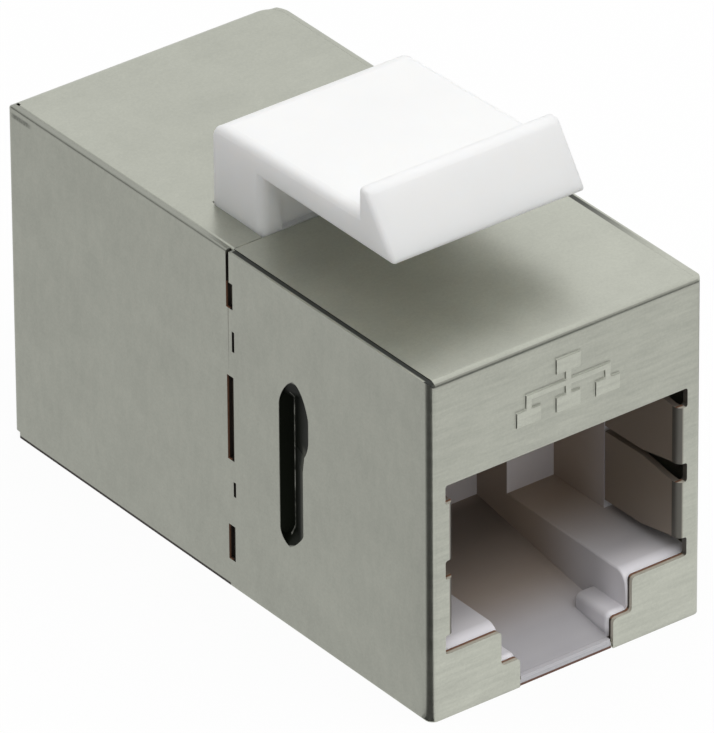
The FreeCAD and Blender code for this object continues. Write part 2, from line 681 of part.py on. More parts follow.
def front_housing():
    """Moulded jack insert: plug cavity, tongue pockets, shelves, latch channel and locking blocks."""
    front = -size("body_length") / 2 + size("metal")
    metal = size("metal")
    span = (HOUSING_FRONT, HOUSING_END)
    inside = block("housing_block", both_sides(HOUSING_SIDE), span, ("dims.metal", HOUSING_TOP))

    def outer_edge(direction, middle):
        at_front, at_bottom = near(middle.y, front), near(middle.z, metal)
        upright = abs(direction.z) > AXIS_SHARE and at_front
        along = abs(direction.y) > AXIS_SHARE and at_bottom
        across = abs(direction.x) > AXIS_SHARE and at_front and at_bottom
        return upright or along or across

    blank = rounded("housing_blank", inside, size("housing_radius"), outer_edge)
    mouth = f"{HOUSING_FRONT} - {PAST}"
    across = f"{HOUSING_SIDE} + {PAST}"
    pocket_end = f"{FRONT} + dims.tongue_length + dims.pocket_clearance"
    throat_end = f"{FRONT} + dims.throat_depth"
    channel = [
        (mouth, CHANNEL_FLOOR),
        (HOUSING_FRONT, CHANNEL_FLOOR),
        (throat_end, f"{CHANNEL_FLOOR} + dims.channel_rise"),
        (throat_end, WINDOW_TOP),
        (mouth, WINDOW_TOP),
    ]
    margin = "(dims.metal + dims.fit_clearance)"
    groove_y = (f"{FRONT} + dims.strike_front - {margin}", f"{FRONT} + dims.groove_back + {margin}")
    groove_z = (f"dims.groove_bottom - {margin}", f"dims.groove_top + {margin}")
    groove_x = (f"{SIDE} - dims.groove_depth - {margin}", across)
    groove_pocket = block("groove_pocket", groove_x, groove_y, groove_z)
    hollow = [
        groove_pocket,
        left_of(groove_pocket),
        block("plug_cavity", both_sides(CAVITY_SIDE), (mouth, f"{FRONT} + dims.cavity_depth"),
              (CAVITY_FLOOR, WINDOW_TOP)),
        block("tongue_pocket", both_sides(across), (mouth, pocket_end), (CAVITY_FLOOR, WINDOW_TOP)),
        side_extrusion("latch_channel", channel, both_sides(CHANNEL_SIDE)),
        block("roof_window", both_sides(ROOF_SIDE), (f"{FRONT} + dims.roof_front", POST_END),
              (f"{HOUSING_TOP} - dims.roof_thickness", f"{HOUSING_TOP} + {PAST}")),
    ]
    ease_y, ease_z = f"{HOUSING_FRONT} + dims.shelf_radius", f"{CAVITY_FLOOR} - dims.shelf_radius"
    corner = block("shelf_corner", both_sides(across), (mouth, ease_y), (ease_z, CAVITY_FLOOR))
    shelf_round = rod("shelf_round", "2 * dims.shelf_radius", both_sides(across), ease_y, ease_z)
    ease = cut("shelf_ease", corner, [shelf_round])
    hollowed = cut("housing_hollowed", blank, hollow + [ease])
    stop = block("locking_block", ("dims.key_gap / 2 - dims.lip / 2", f"{CHANNEL_SIDE} + dims.lip"),
                 (HOUSING_FRONT, f"{HOUSING_FRONT} + dims.block_length"),
                 (CHANNEL_FLOOR, "dims.key_height + dims.lip"))
    lip = block("channel_lip", both_sides("dims.key_gap / 2 - dims.fit_clearance"),
                (FLOOR_FRONT, f"{HOUSING_FRONT} + dims.metal"), ("dims.metal", CHANNEL_FLOOR))
    inner = size("key_gap") / 2 - size("lip") / 2
    stop_top = size("key_height") + size("lip")

    def lead_in(direction, middle):
        at_side, at_front, at_top = near(middle.x, inner), near(middle.y, front), near(middle.z, stop_top)
        along = abs(direction.y) > AXIS_SHARE and at_side and at_top
        across = abs(direction.x) > AXIS_SHARE and at_front and at_top
        upright = abs(direction.z) > AXIS_SHARE and at_front and at_side
        return along or across or upright

    soft_stop = rounded("locking_stop", stop, size("block_radius"), lead_in)
    return join("front_housing", [hollowed, lip, soft_stop, left_of(soft_stop)])


def contact_place(number):
    """Offset across the socket and depth of the post of one contact: the posts stand in two rows."""
    x = f"({number - (CONTACT_COUNT - 1) / 2} * dims.contact_pitch)"
    depth = f"(dims.post_depth + {number % 2} * dims.row_step)"
    return x, f"({FRONT} + {depth})"


def front_carrier():
    """Moulded comb over the socket: a slab with post holes, fins between the contacts and two rails."""
    slab = block("carrier_slab", both_sides(HOUSING_SIDE), (f"{FRONT} + dims.carrier_front", HOUSING_END),
                 (HOUSING_TOP, SLAB_TOP))
    rail = block("carrier_rail", (RAIL_INNER, HOUSING_SIDE), (f"{FRONT} + dims.carrier_front", HOUSING_END),
                 (HOUSING_TOP, RAIL_TOP))
    half = "dims.comb_thickness / 2"
    fin_span = (f"{FRONT} + dims.roof_front + dims.fit_clearance",
                f"{FRONT} + dims.post_depth - dims.hole_diameter")
    fin_height = (f"{HOUSING_TOP} - dims.roof_thickness", HOUSING_TOP)
    fins = []
    for gap in range(1, CONTACT_COUNT):
        x = f"{gap - CONTACT_COUNT / 2} * dims.contact_pitch"
        fins.append(block(f"comb_fin_{gap}", (f"{x} - {half}", f"{x} + {half}"), fin_span, fin_height))
    solid = join("carrier_solid", [slab, rail, left_of(rail)] + fins)
    return cut("front_contact_carrier", solid, post_holes("carrier", (HOUSING_TOP, SLAB_TOP)))


def post_holes(name, z):
    """A hole for each front contact post."""
    holes = []
    for number in range(CONTACT_COUNT):
        x, y = contact_place(number)
        holes.append(post(f"{name}_hole_{number + 1}", "dims.hole_diameter", x, y, z))
    return holes


def circuit_board():
    """Board between the rails that links each front contact to its rear contact."""
    end = f"{BACK} - dims.board_setback"
    plate = block("board_plate", both_sides(f"{RAIL_INNER} - dims.board_clearance"), both_sides(end),
                  (SLAB_TOP, BOARD_TOP))
    holes = join("board_holes", post_holes("board", (SLAB_TOP, BOARD_TOP)))
    return cut("circuit_board", plate, [holes, rear_of(holes)])


def contact(name, number):
    """One spring contact: a post, a run under the carrier, a turned nose and a slanting spring."""
    x, y = contact_place(number)
    body = doc.addObject("PartDesign::Body", name)
    path = body_sketch(body, f"{name}_path", "YZ_Plane")
    bend, nose = "dims.post_bend", "dims.nose_radius"
    top = f"({BOARD_TOP} + dims.post_rise)"
    nose_y = f"({FRONT} + dims.nose_depth)"
    spring_end = (f"{FRONT} + dims.spring_end_depth", f"{WIRE_LEVEL} - dims.spring_drop")

    post_y, level, top_z, nose_x = (number_of(value) for value in (y, WIRE_LEVEL, top, nose_y))
    end = FreeCAD.Vector(*(number_of(value) for value in spring_end), 0)
    bend_size, nose_size = size("post_bend"), size("nose_radius")
    corner = FreeCAD.Vector(post_y - bend_size, level + bend_size, 0)
    turn = FreeCAD.Vector(nose_x, level - nose_size, 0)
    leave = FreeCAD.Vector(nose_x, level - 2 * nose_size, 0)
    up = FreeCAD.Vector(0, 0, 1)
    quarter = math.pi / 2
    post_top, post_foot = FreeCAD.Vector(post_y, top_z, 0), FreeCAD.Vector(post_y, corner.y, 0)
    run_rear, run_front = FreeCAD.Vector(corner.x, level, 0), FreeCAD.Vector(nose_x, level, 0)
    path.addGeometry(Part.LineSegment(post_top, post_foot), False)
    path.addGeometry(Part.ArcOfCircle(Part.Circle(corner, up, bend_size), -quarter, 0), False)
    path.addGeometry(Part.LineSegment(run_rear, run_front), False)
    path.addGeometry(Part.ArcOfCircle(Part.Circle(turn, up, nose_size), quarter, 3 * quarter), False)
    path.addGeometry(Part.LineSegment(leave, end), False)
    # Each smooth joint of the path: a piece, its end, the next piece and the end that meets it
    for first, first_end, second, second_end in ((0, 2, 1, 2), (1, 1, 2, 1), (2, 2, 3, 1), (3, 2, 4, 1)):
        path.addConstraint(Sketcher.Constraint("Tangent", first, first_end, second, second_end))
    path.addConstraint(Sketcher.Constraint("Vertical", 0))
    path.addConstraint(Sketcher.Constraint("Horizontal", 2))
    for arc, radius in ((1, bend), (3, nose)):
        place = path.addConstraint(Sketcher.Constraint("Radius", arc, number_of(radius)))
        path.setExpression(f"Constraints[{place}]", radius)
    pin(path, 0, 1, (y, top))
    pin(path, 2, 2, (nose_y, WIRE_LEVEL))
    pin(path, 4, 2, spring_end)
    section = body_sketch(body, f"{name}_section", "XY_Plane")
    section.setExpression("AttachmentOffset.Base.z", top)
    half = "dims.wire / 2"
    draw(section, [(f"-{half}", f"{y} - {half}"), (half, f"{y} - {half}"),
                   (half, f"{y} + {half}"), (f"-{half}", f"{y} + {half}")])
    pipe = body.newObject("PartDesign::AdditivePipe", f"{name}_wire")
    pipe.Profile = section
    pipe.Spine = path
    body.setExpression("Placement.Base.x", x)
    return body


opening = stepped_opening()
tongue_set = tongues()
slots = seam_slots()
shells = [front_shell(opening, tongue_set, slots), rear_shell(opening, tongue_set, slots)]
clip = latch_clip()
housing = front_housing()
carrier = front_carrier()
contacts = [contact(f"front_contact_{number + 1}", number) for number in range(CONTACT_COUNT)]
sub_parts = shells + [clip, housing, rear_of(housing, "rear_housing")]
sub_parts += [carrier, rear_of(carrier, "rear_contact_carrier"), circuit_board()]
sub_parts += contacts
sub_parts += [rear_of(piece, piece.Name.replace("front", "rear")) for piece in contacts]

doc.recompute()
for item in doc.Objects:
    if "Invalid" in item.State or "Error" in item.State:
        raise RuntimeError(f"{item.Name} failed: {item.State}")
for piece in sub_parts:
    if piece.Shape.isNull() or not piece.Shape.isValid():
        raise RuntimeError(f"{piece.Label} has no valid shape")

os.makedirs("parts", exist_ok=True)
for piece in sub_parts:
    piece.Shape.exportStep(f"parts/{piece.Label}.step")
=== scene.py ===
import math

import bmesh
import bpy
from mathutils import Matrix, Vector


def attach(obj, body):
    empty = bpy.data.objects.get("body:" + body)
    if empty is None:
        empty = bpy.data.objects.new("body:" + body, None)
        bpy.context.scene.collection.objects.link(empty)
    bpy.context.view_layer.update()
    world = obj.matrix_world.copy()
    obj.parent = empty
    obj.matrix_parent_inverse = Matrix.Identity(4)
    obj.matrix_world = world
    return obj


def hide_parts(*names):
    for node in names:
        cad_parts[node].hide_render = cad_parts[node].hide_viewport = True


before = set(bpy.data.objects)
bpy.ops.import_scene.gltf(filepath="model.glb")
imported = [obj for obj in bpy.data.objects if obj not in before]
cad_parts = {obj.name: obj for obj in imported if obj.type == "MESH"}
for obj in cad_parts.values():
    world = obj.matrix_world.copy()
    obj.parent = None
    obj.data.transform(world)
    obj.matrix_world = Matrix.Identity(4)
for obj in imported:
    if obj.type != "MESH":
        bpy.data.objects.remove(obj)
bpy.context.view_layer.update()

# One millimetre in the frame's metres. The sizes below are in millimetres
MM = 0.001

# The box that the two shells fold up to, with its seam, slits and floor
BODY_HALF = (7.25, 14.925, 8.3)
BODY_MIDDLE = (0.0, 0.0, 8.3)
FRONT = -14.925
SHELL_TOP = 16.6
SHEET = 0.3
BEND = 0.38
SIDE_SHEET = (6.6, 6.65)
UNDER_TOP_SHEET = SHELL_TOP - SHEET - 0.1
SEAM, SEAM_HALF, SEAM_OPEN = -0.945, 0.015, 3.0
FLAP_SIDE = 6.90
SLIT_CLOSED = FLAP_SIDE + 0.045
FLOOR_TOP, FLAP_FOOT = 0.30, 0.33

# The rear right corner is bent wider, and the relief at its top is closed with the slit
FAR_CORNER, CORNER_STEPS = 1.1, 8
RELIEF_SIDE, RELIEF_LENGTH, RELIEF_DROP = (6.7, 6.94), 0.6, 0.7

# The raised sign on the front face
SIGN_HALF, SIGN_UP = 4.0, (10.0, 16.0)

# The groove pressed into each side flap, measured back from the front face and up
GROOVE_INSIDE = 6.0
GROOVE_ROOM_BACK, GROOVE_ROOM_UP = (8.0, 10.9), (3.5, 12.8)
GROOVE_BACK, GROOVE_UP = (8.35, 10.53), (3.85, 12.4)
VALLEY_BACK, VALLEY_UP = (9.985, 10.055), (4.5, 11.9)
GROOVE_REFLECTION_BACK, GROOVE_REFLECTION_UP = (9.0, 9.35), (9.0, 9.4)
GROOVE_MIDDLE, RISE_BEFORE = 9.53, 9.74
POINT_FROM, RISE_FROM, END_LENGTH = 10.4, 5.2, 1.2
POINT_SLOPE, POINT_CURVE, RISE_SLOPE = 0.8, 0.55, 0.7
SHOULDER_BACK, SHOULDER_UP = 8.81, 9.1
SHOULDER_FOOT, SHOULDER_LIFT, SHOULDER_STRETCH = 8.0, 0.5, 1.5

# Small marks on the shells: tongue sides, painted shade on the front bend, corner smear, floor lip, and edges
# left without painted shade or bare brass
TONGUE_AT, TONGUE_FOOT = (5.7, 6.6), (3.1, 3.2)
BEND_SHADE_UP, BEND_SHADE_SIDE = (16.43, 16.49), (7.0, 7.1)
SMEAR_BACK, SMEAR_UP = (13.4, 14.3), (16.16, 16.26)
LIP_BACK, LIP_HALF, LIP_TOP = (0.05, 0.11), (2.46, 2.48), (0.35, 0.4)
RAW_AND_SHADED_TOP = (0.10, 0.14)
EDGE_RIM, RIGHT_EDGE_FADE_BACK = (7.12, 7.2), (2.0, 9.0)
FOOT_CLEAR, FOOT_CLEAR_BACK = (6.0, 6.2), 5.0

# The shelves and the plug channel of the sockets
SHELF_SIDE, SHELF_TOP = 3.4, 3.25
SHELF_ROUND_MOUTH, SHELF_ROUND_INSIDE, MOUTH = 1.5, 2.5, 14.6
CHANNEL_TOP = (2.1, 2.3)
FLOOR_LEVEL = (0.5, 0.9)

# The traces of the circuit board
TRACE_HALF_PITCH, TRACE_HALF_WIDTH = 0.51, (0.10, 0.14)

# The latch clip: its outline as y, z and how round it is across the clip and along its sides
FOOT_FRONT, FOOT_REAR = -0.88, 2.82
CLIP_LEFT, CLIP_RIGHT = -5.35, 4.85
UNDER_ARM = 19.4
FLANGE_UNDER = 15.75
CLIP_OUTLINE = [
    (FOOT_FRONT, FLANGE_UNDER, 0.0, 0.0),
    (FOOT_REAR, FLANGE_UNDER, 0.0, 0.45),
    (FOOT_REAR, 20.6, 1.0, 0.4),
    (-7.6, 20.95, 0.2, 0.2),
    (-7.6, 22.15, 0.2, 0.2),
    (-8.15, 22.15, 0.25, 0.2),
    (-10.05, UNDER_ARM, 0.2, 0.15),
    (FOOT_FRONT, UNDER_ARM, 0.3, 0.4),
]
WIDEST_ROUND = 1.0
FOOT_LEG, FOOT_RECESS = 1.05, 0.3
FLANGE = ((-6.35, 6.35), (-1.78, 3.72), (FLANGE_UNDER, 16.3))
FOOT_PLAY, NOTCH_FIT = 0.05, 0.12

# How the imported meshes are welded, when two lengths are the same, and how sharp a fold must be
WELD = 0.0001
CLOSE = 0.001
LEVEL = math.radians(0.5)
FOLD = math.radians(38)


# Shader sums
class Field:
    """A value over a surface. Sums written with it become Math nodes of its finish."""

    def __init__(self, finish, socket):
        self.finish = finish
        self.socket = socket

    def math(self, operation, first, second=0.0):
        return self.finish.node("ShaderNodeMath", {"operation": operation}, {0: first, 1: second})

    def __add__(self, other):
        return self.math("ADD", self, other)

    __radd__ = __add__

    def __sub__(self, other):
        return self.math("SUBTRACT", self, other)

    def __rsub__(self, other):
        return self.math("SUBTRACT", other, self)

    def __mul__(self, other):
        return self.math("MULTIPLY", self, other)

    def __abs__(self):
        return self.math("ABSOLUTE", self)

    def least(self, other):
        return self.math("MINIMUM", self, other)

    def most(self, other):
        return self.math("MAXIMUM", self, other)

    def to_and_fro(self, span):
        return self.math("PINGPONG", self, span)

    def rise(self, start, end, low=0.0, high=1.0):
        """Climbs smoothly from low to high as this value goes from start to end."""
        settings = {"interpolation_type": "SMOOTHSTEP"}
        values = {"Value": self, "From Min": start, "From Max": end, "To Min": low, "To Max": high}
        return self.finish.node("ShaderNodeMapRange", settings, values)

    def fall(self, start, end):
        """Drops smoothly from one to nothing as this value goes from start to end."""
        return self.rise(start, end, 1.0, 0.0)

    def between(self, start, end, soft):
        """Is one from start to end and falls to nothing over soft on both sides."""
        return self.rise(start - soft, start) * self.fall(end, end + soft)


class Finish:
    """The node material of one kind of surface, with its Principled BSDF."""

    def __init__(self, name, **constants):
        self.material = bpy.data.materials.new(name)
        self.material.use_nodes = True
        self.tree = self.material.node_tree
        self.shader = self.tree.nodes["Principled BSDF"]
        for socket, value in constants.items():
            self.shader.inputs[socket.replace("_", " ")].default_value = value

    def feed(self, socket, value):
        if isinstance(value, Field):
            self.tree.links.new(value.socket, socket)
        else:
            socket.default_value = value

    def node(self, kind, settings=None, values=None, output=0):
        made = self.tree.nodes.new(kind)
        for name, value in (settings or {}).items():
            setattr(made, name, value)
        for name, value in (values or {}).items():
            self.feed(made.inputs[name], value)
        return Field(self, made.outputs[output])

    def give(self, socket, value):
        self.feed(self.shader.inputs[socket], value)

    def place(self):
        """The point on the object, in millimetres."""
        at = self.node("ShaderNodeTexCoord", output="Object")
        return self.vector("SCALE", at, scale=1.0 / MM)

    def facing(self):
        return self.node("ShaderNodeNewGeometry", output="Normal")

    def turned(self, facing):
        """How far the surface faces sideways, endwise, and up or down."""
        return self.parts(self.vector("ABSOLUTE", facing))

    def vector(self, operation, first, second=(0.0, 0.0, 0.0), scale=1.0, output=0):
        values = {0: first, 1: second, 3: scale}
        return self.node("ShaderNodeVectorMath", {"operation": operation}, values, output)

    def parts(self, vector):
        split = self.node("ShaderNodeSeparateXYZ", values={0: vector})
        outputs = split.socket.node.outputs
        return [Field(self, output) for output in outputs]

    def noise(self, at, scale, detail=2.0, roughness=0.5, stretch=(1.0, 1.0, 1.0)):
        stretched = self.vector("MULTIPLY", at, stretch)
        values = {"Vector": stretched, "Scale": scale, "Detail": detail, "Roughness": roughness}
        return self.node("ShaderNodeTexNoise", {"noise_dimensions": "3D"}, values)

    def mix(self, share, first, second, blend="MIX"):
        settings = {"data_type": "RGBA", "blend_type": blend}
        values = {"Factor": share, 6: first, 7: second}
        return self.node("ShaderNodeMix", settings, values, 2)

    def layers(self, ground, coats):
        """The ground with coats laid over it one after another, each by its share."""
        for share, coat in coats:
            ground = self.mix(share, ground, coat)
        return ground

    def grey(self, value):
        return self.node("ShaderNodeCombineColor", values={0: value, 1: value, 2: value})

    def bump(self, height, strength, distance):
        values = {"Height": height, "Strength": strength, "Distance": distance}
        self.give("Normal", self.node("ShaderNodeBump", values=values))


def colour(red, green, blue):
    return (red, green, blue, 1.0)


# Colours of the shells: the nickel, a dark smear, painted shade, highlight and reflection on it, and the
# brass under it
NICKEL, NICKEL_SMEARED = colour(0.455, 0.466, 0.405), colour(0.62, 0.59, 0.50)
SHEET_INSIDE, TONGUE_SIDE = colour(0.34, 0.29, 0.24), colour(0.12, 0.115, 0.10)
SMEAR_AND_GROOVE_SHADE, GROOVE_PAINTED_REFLECTION = colour(0.009, 0.011, 0.007), colour(0.13, 0.135, 0.11)
FRONT_EDGE_SHADE, REAR_EDGE_SHADE = colour(0.011, 0.013, 0.010), colour(0.20, 0.205, 0.18)
BEND_SHADE_PAINT, VALLEY_HIGHLIGHT_PAINT = colour(0.09, 0.093, 0.078), colour(0.34, 0.34, 0.30)
LIP_FLASH = colour(0.66, 0.66, 0.69)
LIP_RAW, FLOOR_EDGE_SHADE = colour(0.16, 0.075, 0.05), colour(0.028, 0.02, 0.016)
BRASS_DARK, BRASS_LIGHT = colour(0.20, 0.095, 0.055), colour(0.32, 0.16, 0.095)
BRASS_SIDE_SHADE, SLOT_SHADE = colour(0.05, 0.035, 0.028), colour(0.02, 0.016, 0.013)


# Finish of the shells
class ShellPlace:
    """Where a point of a shell lies on the folded box, and which way its surface faces."""

    def __init__(self, finish):
        self.at = finish.place()
        self.x, self.y, self.z = finish.parts(self.at)
        facing = finish.facing()
        self.sideways, self.endwise, self.upward = finish.turned(facing)

        # Depth below the outside of the box, and how squarely the surface faces out of its sheet
        core = [half - BEND for half in BODY_HALF]
        centred = finish.vector("SUBTRACT", self.at, BODY_MIDDLE)
        reach = finish.vector("SUBTRACT", finish.vector("ABSOLUTE", centred), core)
        beyond = finish.vector("MAXIMUM", reach, (0.0, 0.0, 0.0))
        reach_x, reach_y, reach_z = finish.parts(reach)
        within = reach_x.most(reach_y).most(reach_z).least(0.0)
        self.depth = BEND - finish.vector("LENGTH", beyond, output="Value") - within
        side_of = finish.vector("SIGN", centred)
        sheet_way = finish.vector("MULTIPLY", finish.vector("NORMALIZE", beyond), side_of)
        self.outward = finish.vector("DOT_PRODUCT", facing, sheet_way, output="Value")

        self.from_front = self.y - FRONT
        self.at_side = abs(self.x).rise(*SIDE_SHEET)
        self.before_seam = self.y.fall(SEAM - 0.2, SEAM - 0.1)


def plating(finish, on):
    """Rolled grain, clouds and fine speckle of the nickel, painted light on the front top flap and the sign's
    face, and its colour with them.
    """
    grain_walls = finish.noise(on.at, 1.0, 3.0, 0.6, (0.5, 0.5, 5.0))
    grain_top = finish.noise(on.at, 1.0, 3.0, 0.6, (0.5, 5.0, 0.5))
    brushed = on.endwise * 0.34 + 0.06
    grain = (grain_walls + (grain_top - grain_walls) * on.upward - 0.5) * brushed
    cloud = finish.noise(on.at, 0.45, 3.0, 0.55) - 0.5
    speckle = finish.noise(on.at, 9.0, 2.0, 0.7)
    blotch = finish.noise(on.at, 1.4, 3.0, 0.6, (1.0, 1.6, 0.7)) - 0.5
    shade = 1.0 + grain + cloud * 0.20 + blotch * on.sideways * 0.16 + (speckle - 0.5) * 0.22

    # Painted light: the front top flap and the face of the raised sign are painted a little brighter
    front_top_painted_light = on.upward.rise(0.8, 0.95) * on.y.rise(SEAM - 0.1, SEAM, 0.09, 0.0)
    raised = on.y.fall(FRONT - 0.09, FRONT - 0.05) * 0.14
    shade = shade * (1.0 + front_top_painted_light) * (1.0 + raised)
    return grain, cloud, speckle, finish.mix(1.0, NICKEL, finish.grey(shade), "MULTIPLY")


def groove_marks(finish, on):
    """The groove's zone, its pressed sheet, the painted shade on that, and the painted highlight along its
    valley.
    """
    zone = on.from_front.between(*GROOVE_BACK, 0.05) * on.z.between(*GROOVE_UP, 0.05) * on.at_side
    pressed = zone * on.outward.rise(-0.3, -0.2)
    # The pressed sheet is painted dark as shade
    groove_painted_shade = pressed * on.depth.rise(0.0, 0.03)
    # A light line painted along the valley stands in for its highlight, broken into glints
    valley = on.from_front.between(*VALLEY_BACK, 0.02) * on.z.between(*VALLEY_UP, 0.15)
    valley = valley * on.depth.rise(0.2, 0.3)
    glint = finish.noise(on.at, 1.0, 2.0, 0.6, (0.1, 0.1, 2.2)).rise(0.35, 0.65, 0.18, 1.0)
    return zone, pressed, groove_painted_shade, pressed * valley * glint


def inner_sheet(on, pressed):
    """The tongues turned into the sockets, and with them all sheet that faces into the box."""
    end_sheet = (BODY_HALF[1] - abs(on.y)).fall(0.42, 0.46)
    tongues = end_sheet * abs(on.x).between(*TONGUE_AT, 0.05) * on.sideways.rise(0.1, 0.45)
    tongues = tongues * on.z.rise(*TONGUE_FOOT)
    inner = (on.depth.rise(SHEET - 0.02, SHEET + 0.1) * (1.0 - pressed)).most(tongues)
    return tongues, inner


def edge_marks(on):
    """The right-hand upper edges, left without painted shade or bare brass, and the painted shade on the
    upper edges of the front and rear side flaps.
    """
    edge = abs(on.x).rise(FLAP_SIDE, FLAP_SIDE + 0.03) * on.z.rise(SHELL_TOP - 0.42, SHELL_TOP - 0.3)
    edge = edge * on.upward.rise(0.3, 0.5)
    rim = abs(on.x).fall(*EDGE_RIM).most(on.from_front.fall(0.4, 0.5))
    right_top_edges = on.x.rise(-0.1, 0.1) * (1.0 - on.from_front.rise(*RIGHT_EDGE_FADE_BACK) * on.before_seam * 0.95)
    front_edge_painted_shade = edge * rim * on.before_seam * (1.0 - right_top_edges)
    rear_edge_painted_shade = edge * (1.0 - on.before_seam) * (1.0 - right_top_edges) * 0.6
    return right_top_edges, front_edge_painted_shade, rear_edge_painted_shade


def floor_marks(on):
    """The floor flap's lip in the mouth of the front socket, and the lower part of its cut edges, raw brass
    at the lip and painted shade along the sides.
    """
    lip = on.from_front.between(*LIP_BACK, 0.01) * abs(on.x).fall(*LIP_HALF) * on.endwise.rise(0.8, 0.9)
    lip = lip * on.z.fall(*LIP_TOP)
    side = on.y.rise(SEAM, SEAM + 0.1) * on.sideways.rise(0.8, 0.9) * on.at_side
    return lip, on.z.fall(*RAW_AND_SHADED_TOP) * side.most(lip)


def cut_metal(finish, on, speckle):
    """Raw brass, painted darker as shade where it faces sideways, with nickel smeared over the outer half of
    the end edges and painted shade in the side slots.
    """
    brass = finish.mix(speckle, BRASS_DARK, BRASS_LIGHT)
    side_shaded_brass = finish.mix(on.sideways.rise(0.7, 0.9), brass, BRASS_SIDE_SHADE)
    smeared = finish.mix(on.depth.rise(0.14, 0.20), NICKEL_SMEARED, side_shaded_brass)
    # The open top of the seam and the deeper parts of the side slots are painted dark as shade
    open_gap = on.z.rise(SHELL_TOP - 1.55, SHELL_TOP - 1.5).most(on.y.fall(SEAM - 0.1, SEAM - 0.05))
    slot_shaded = finish.mix(on.depth.rise(0.05, 0.14).most(open_gap), brass, SLOT_SHADE)
    return finish.mix(on.at_side, smeared, slot_shaded)


def shell_finish(name):
    """Satin nickel over brass sheet, with raw brass on the cut edges."""
    finish = Finish(name)
    on = ShellPlace(finish)
    grain, cloud, speckle, plate = plating(finish, on)
    zone, pressed, groove_painted_shade, valley_painted_highlight = groove_marks(finish, on)
    tongues, inner = inner_sheet(on, pressed)
    right_top_edges, front_edge_painted_shade, rear_edge_painted_shade = edge_marks(on)
    lip, raw_and_shaded_edge = floor_marks(on)

    # A fine dark line of painted shade runs under the bend of the front top flap, and a short smear lies at
    # the rear top corner
    bend_painted_shade = on.from_front.fall(0.22, 0.25) * on.z.between(*BEND_SHADE_UP, 0.03) * abs(on.x).fall(*BEND_SHADE_SIDE)
    smear = on.z.between(*SMEAR_UP, 0.12) * on.y.between(*SMEAR_BACK, 0.4) * on.at_side * speckle
    # A lighter painted reflection lies on the groove's shoulder, and the moulding's flash covers the upper
    # half of the floor lip
    groove_painted_reflection = on.from_front.fall(*GROOVE_REFLECTION_BACK) * on.z.fall(*GROOVE_REFLECTION_UP) * 0.6
    sheet = finish.layers(plate, [
        (inner, finish.mix(tongues, SHEET_INSIDE, TONGUE_SIDE)),
        (groove_painted_shade.most(smear), finish.mix(groove_painted_reflection, SMEAR_AND_GROOVE_SHADE, GROOVE_PAINTED_REFLECTION)),
        # Painted shade on the upper edges of the side flaps
        (rear_edge_painted_shade, REAR_EDGE_SHADE),
        (front_edge_painted_shade, FRONT_EDGE_SHADE),
        (bend_painted_shade * 0.45, BEND_SHADE_PAINT),
        (valley_painted_highlight, VALLEY_HIGHLIGHT_PAINT),
        (lip, LIP_FLASH),
        # Painted shade on the floor flap's lower side edges, raw brass on its lip
        (raw_and_shaded_edge, finish.mix(lip, FLOOR_EDGE_SHADE, LIP_RAW)),
    ])

    # Cut edges are bare, apart from the right-hand ones on top and those beside the latch foot
    by_foot = abs(on.x).fall(*FOOT_CLEAR) * on.y.between(SEAM, FOOT_CLEAR_BACK, 0.2)
    covered = right_top_edges.most(by_foot) * on.z.rise(SHELL_TOP - 0.45, SHELL_TOP - 0.4)
    cut = on.depth.between(0.02, SHEET - 0.02, 0.02) * abs(on.outward).fall(0.25, 0.45)
    cut = cut * (1.0 - tongues) * (1.0 - zone) * (1.0 - covered)
    finish.give("Base Color", finish.mix(cut, sheet, cut_metal(finish, on, speckle)))
    dull = cut.most(raw_and_shaded_edge).most(lip).most(front_edge_painted_shade).most(valley_painted_highlight).most(inner * 0.5)
    finish.give("Metallic", 0.95 - dull * 0.75)
    finish.give("Roughness", 0.32 + grain * 0.4 + cloud * 0.06 + groove_painted_shade * 0.2 + dull * 0.2)
    finish.bump(grain * 2.0 + speckle * 0.4, 0.06, 0.02 * MM)
    return finish.material


# Finishes of the other parts
def latch_finish(name):
    """White moulded plastic, satin, with a faint moulded texture."""
    finish = Finish(name, IOR=1.49, Specular_IOR_Level=0.3, Subsurface_Weight=0.8,
                    Subsurface_Radius=(1.0, 0.95, 0.9), Subsurface_Scale=1.5 * MM)
    at = finish.place()
    cloud = finish.noise(at, 0.35, 2.0)
    fine = finish.noise(at, 14.0, 2.0, 0.6)
    white = finish.mix(cloud, colour(0.855, 0.855, 0.85), colour(0.89, 0.89, 0.882))
    finish.give("Base Color", finish.mix(fine * 0.06, white, colour(0.80, 0.80, 0.80)))
    finish.give("Roughness", 0.42 + fine * 0.08)
    finish.bump(fine, 0.05, 0.02 * MM)
    return finish.material


